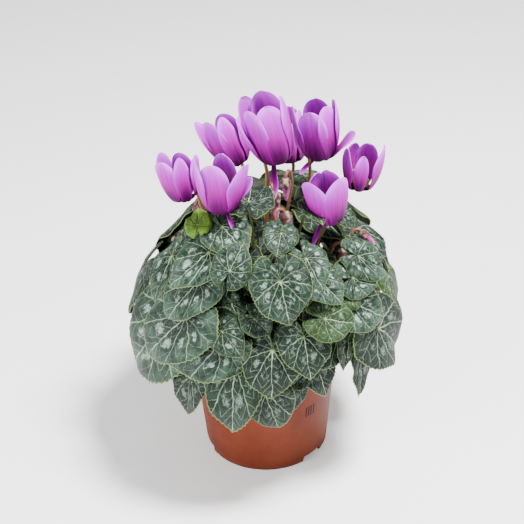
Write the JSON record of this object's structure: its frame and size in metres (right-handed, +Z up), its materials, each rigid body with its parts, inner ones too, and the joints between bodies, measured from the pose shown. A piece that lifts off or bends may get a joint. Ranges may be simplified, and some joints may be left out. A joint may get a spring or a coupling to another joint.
{
  "type": "potted cyclamen",
  "caption": "Flowering cyclamen in a small round plastic pot: a dome of heart-shaped patterned leaves under nodding flowers with folded-back petals.",
  "frame": {"origin": "on the surface the pot stands on, at the middle of the pot's foot; the plant's box is centred over it", "axes": "+Z up along the pot's axis to the flowers, -Y the front of the plant, +X to its right as seen from the front"},
  "size_m": [0.191, 0.1967, 0.2818],
  "materials": {
    "pot": "moulded terracotta-coloured polypropylene, satin",
    "potting_mix": "damp dark peat and bark, loose",
    "tuber": "corky brown skin",
    "leaf": "waxy dark green leaf with silver-grey veins and blotches and a thin yellow-green edge",
    "flower_stem": "smooth fleshy stem, orange-brown",
    "petal": "soft matt petal, magenta at the mouth fading to pale lilac",
    "bud": "purple-brown calyx over a furled magenta petal tip"
  },
  "bodies": {
    "root": {"pot": "pot", "potting_mix": "potting_mix", "tuber": "tuber", "leaf_01": "leaf", "leaf_02": "leaf", "leaf_03": "leaf", "leaf_04": "leaf", "leaf_05": "leaf", "leaf_06": "leaf", "leaf_07": "leaf", "leaf_08": "leaf", "leaf_09": "leaf", "leaf_10": "leaf", "leaf_11": "leaf", "leaf_12": "leaf", "leaf_13": "leaf", "leaf_14": "leaf", "leaf_15": "leaf", "leaf_16": "leaf", "leaf_17": "leaf", "leaf_18": "leaf", "leaf_19": "leaf", "leaf_20": "leaf", "leaf_21": "leaf", "leaf_22": "leaf", "leaf_23": "leaf", "leaf_24": "leaf", "leaf_25": "leaf", "leaf_26": "leaf", "leaf_27": "leaf", "leaf_28": "leaf", "leaf_29": "leaf", "leaf_30": "leaf", "leaf_31": "leaf", "leaf_32": "leaf", "leaf_33": "leaf", "leaf_34": "leaf", "flower_1_stem": "flower_stem", "flower_2_stem": "flower_stem", "flower_3_stem": "flower_stem", "flower_4_stem": "flower_stem", "flower_5_stem": "flower_stem", "flower_6_stem": "flower_stem", "flower_7_stem": "flower_stem", "flower_8_stem": "flower_stem", "flower_1_corolla": "petal", "flower_2_corolla": "petal", "flower_3_corolla": "petal", "flower_4_corolla": "petal", "flower_5_corolla": "petal", "flower_6_corolla": "petal", "flower_7_corolla": "petal", "flower_8_corolla": "petal", "bud_1": "bud", "bud_2": "bud", "bud_3": "bud", "bud_4": "bud", "bud_5": "bud", "bud_6": "bud", "bud_7": "bud"}
  },
  "joints": []
}
